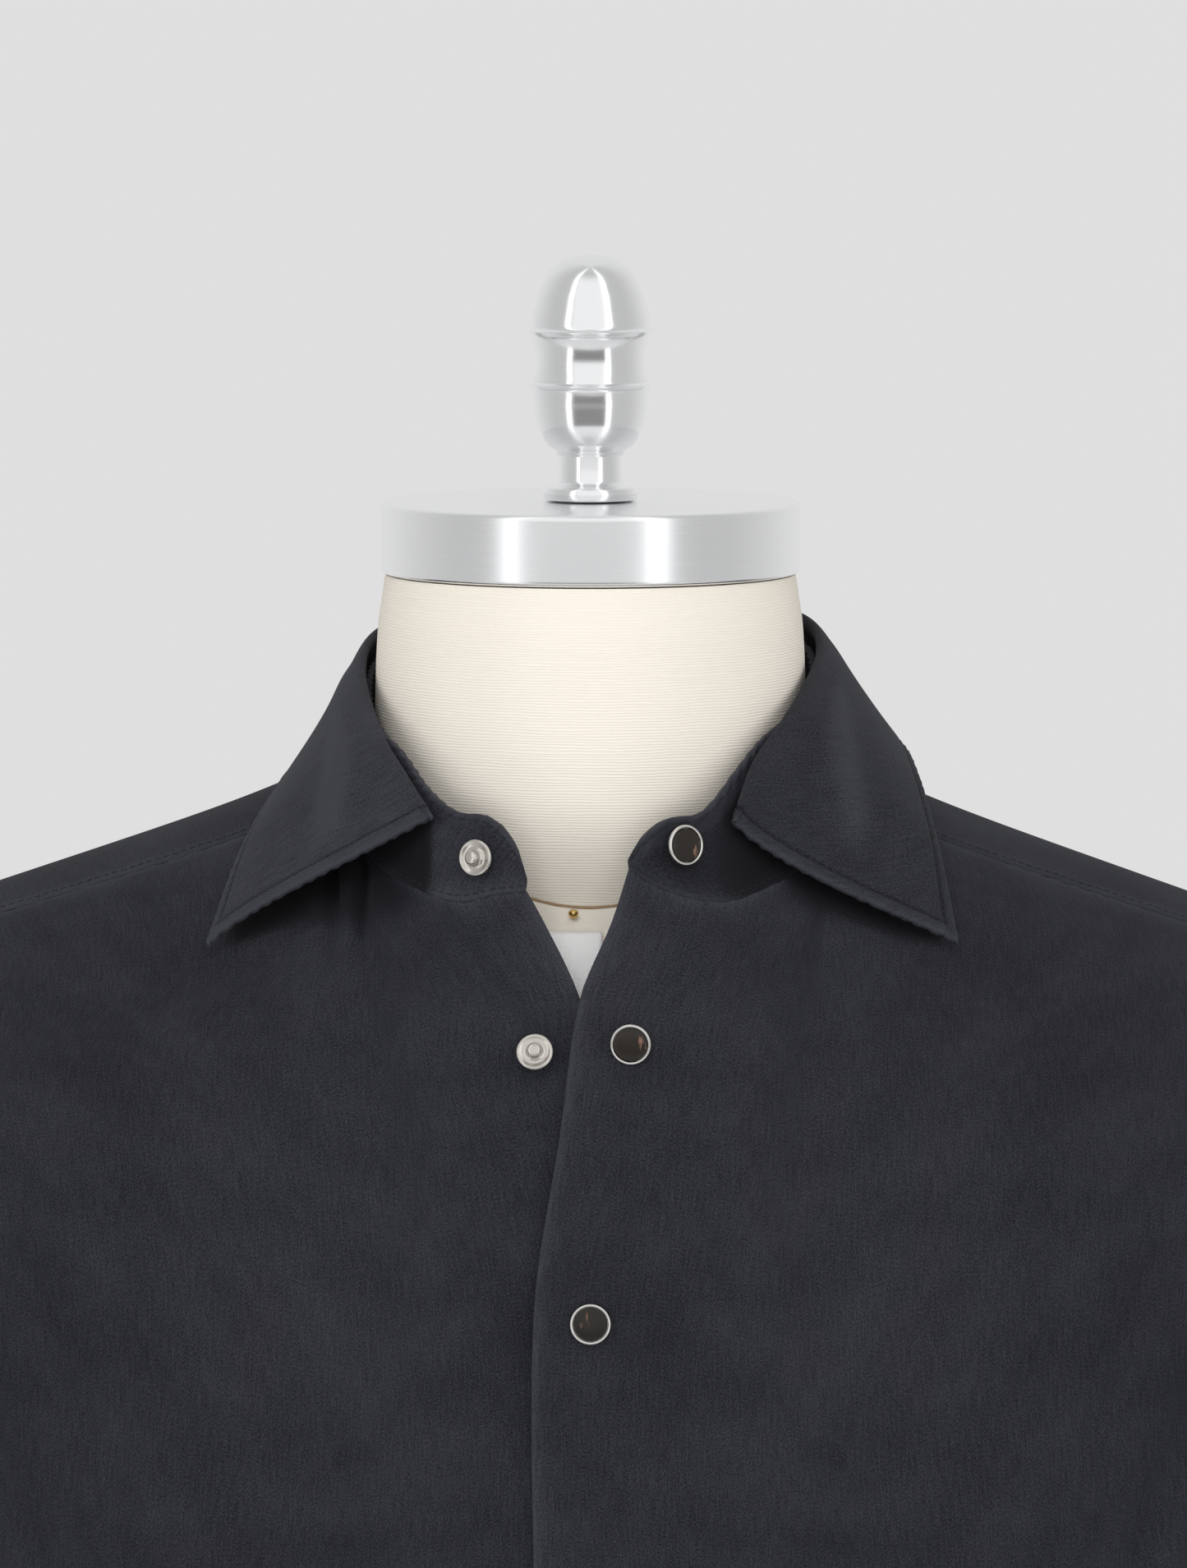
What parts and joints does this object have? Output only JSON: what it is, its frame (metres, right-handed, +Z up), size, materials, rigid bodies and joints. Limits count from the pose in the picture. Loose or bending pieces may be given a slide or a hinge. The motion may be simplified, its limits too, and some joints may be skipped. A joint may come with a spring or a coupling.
{
  "type": "shirt on dress form",
  "caption": "Dark cotton snap-front shirt with a two-piece pointed collar and long cuffed sleeves, on a limbless padded dress form with a metal neck cap and turned knob.",
  "frame": {"origin": "middle of the dress form's flat base, under its neck axis, on the surface it stands on", "axes": "+Z up, the front of the shirt faces -Y, the wearer's left is +X"},
  "size_m": [0.6276, 0.2608, 0.9497],
  "materials": {
    "cotton": "matt garment-washed cotton twill-weight plain weave with a faint slub",
    "knit_cover": "cream knit with fine ribs",
    "patch_cloth": "plain pale woven patch",
    "aluminium": "brushed",
    "snap_metal": "polished",
    "horn": "polished dark horn",
    "brass": "polished"
  },
  "bodies": {
    "root": {"front_right": "cotton", "front_left": "cotton", "back": "cotton", "yoke": "cotton", "collar_stand": "cotton", "collar": "cotton", "sleeve_right": "cotton", "sleeve_left": "cotton", "cuff_right": "cotton", "cuff_left": "cotton", "placket_right": "cotton", "placket_left": "cotton", "snap_stand_rim": "snap_metal", "snap_stand_inlay": "horn", "snap_2_rim": "snap_metal", "snap_2_inlay": "horn", "snap_3_rim": "snap_metal", "snap_3_inlay": "horn", "snap_4_rim": "snap_metal", "snap_4_inlay": "horn", "snap_5_rim": "snap_metal", "snap_5_inlay": "horn", "snap_6_rim": "snap_metal", "snap_6_inlay": "horn", "snap_7_rim": "snap_metal", "snap_7_inlay": "horn", "snap_8_rim": "snap_metal", "snap_8_inlay": "horn", "snap_cuff_right_rim": "snap_metal", "snap_cuff_right_inlay": "horn", "snap_cuff_left_rim": "snap_metal", "snap_cuff_left_inlay": "horn", "stud_stand": "snap_metal", "stud_2": "snap_metal", "form_body": "knit_cover", "form_patch": "patch_cloth", "form_pin": "brass", "form_neck_cap": "aluminium", "form_knob": "aluminium"}
  },
  "joints": []
}
